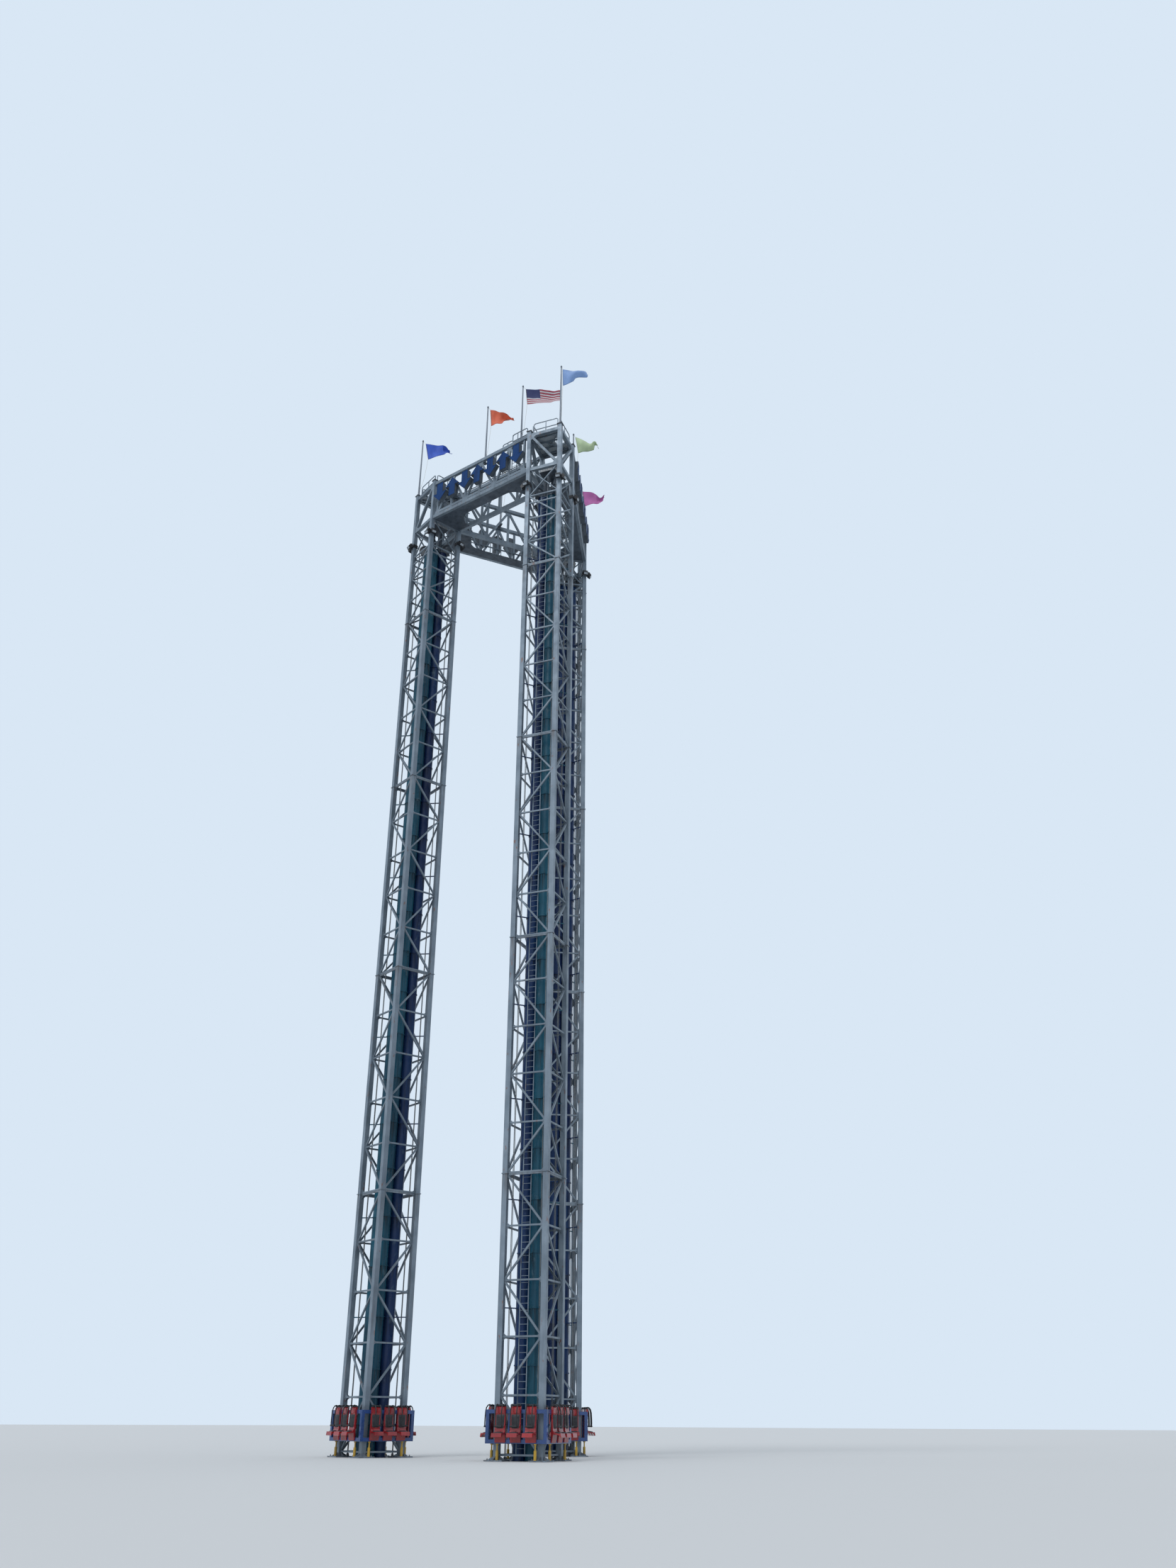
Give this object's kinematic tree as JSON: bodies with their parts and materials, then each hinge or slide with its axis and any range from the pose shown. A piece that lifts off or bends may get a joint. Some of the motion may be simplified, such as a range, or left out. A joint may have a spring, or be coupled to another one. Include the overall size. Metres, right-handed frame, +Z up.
{
  "type": "drop tower ride, 1:10 scale model",
  "caption": "Free-standing drop tower ride: lattice masts joined by a ring of trusses, with air cylinders, seat carriages, signs, floodlights and flags.",
  "frame": {"origin": "on the ground, at the centre of the three masts and of the anchor holes furthest out", "axes": "+Z up, -Y towards the front beam and its sign, +X towards the right mast"},
  "size_m": [1.4895, 1.3389, 6.4959],
  "materials": {
    "galvanised_leg": "weathered galvanised square tube",
    "galvanised_bar": "weathered galvanised bars",
    "painted_cylinder": "semi-gloss paint",
    "wire_rope": "stranded steel wire",
    "machinery_grey": "light grey paint",
    "carriage_paint": "gloss paint",
    "dark_plate": "dark matt paint",
    "sign_blue": "satin blue coating",
    "buffer_yellow": "gloss paint",
    "seat_shell": "moulded shell with a smooth gel coat",
    "restraint_black": "soft-touch foam over steel tube",
    "lamp_black": "black powder coating",
    "pole_grey": "brushed tube",
    "halyard_cord": "braided white cord",
    "flag_cloth": "knitted polyester flag cloth"
  },
  "bodies": {
    "root": {"left_mast_legs": "galvanised_leg", "left_lattice_1": "galvanised_bar", "left_lattice_2": "galvanised_bar", "left_lattice_3": "galvanised_bar", "left_lattice_4": "galvanised_bar", "left_drive_cylinders": "painted_cylinder", "left_hoist_ropes": "wire_rope", "left_sheave_head": "machinery_grey", "left_carriage": "carriage_paint", "right_mast_legs": "galvanised_leg", "right_lattice_1": "galvanised_bar", "right_lattice_2": "galvanised_bar", "right_lattice_3": "galvanised_bar", "right_lattice_4": "galvanised_bar", "right_drive_cylinders": "painted_cylinder", "right_hoist_ropes": "wire_rope", "right_sheave_head": "machinery_grey", "right_carriage": "carriage_paint", "rear_mast_legs": "galvanised_leg", "rear_lattice_1": "galvanised_bar", "rear_lattice_2": "galvanised_bar", "rear_lattice_3": "galvanised_bar", "rear_lattice_4": "galvanised_bar", "rear_drive_cylinders": "painted_cylinder", "rear_hoist_ropes": "wire_rope", "rear_sheave_head": "machinery_grey", "rear_carriage": "carriage_paint", "front_beam_outer_truss": "galvanised_bar", "front_beam_inner_truss": "galvanised_bar", "front_beam_soffit": "dark_plate", "front_sign": "sign_blue", "right_beam_outer_truss": "galvanised_bar", "right_beam_inner_truss": "galvanised_bar", "right_beam_soffit": "dark_plate", "right_sign": "sign_blue", "rear_beam_outer_truss": "galvanised_bar", "rear_beam_inner_truss": "galvanised_bar", "rear_beam_soffit": "dark_plate", "rear_sign": "sign_blue", "base_plates": "galvanised_leg", "ground_buffers": "buffer_yellow", "seats": "seat_shell", "restraints": "restraint_black", "mast_platforms": "galvanised_bar", "walkway_rails": "galvanised_bar", "service_ladders": "galvanised_bar", "leg_caps": "dark_plate", "floodlights": "lamp_black", "flagpoles": "pole_grey", "halyards": "halyard_cord", "pennants": "flag_cloth", "large_flag": "flag_cloth"}
  },
  "joints": []
}
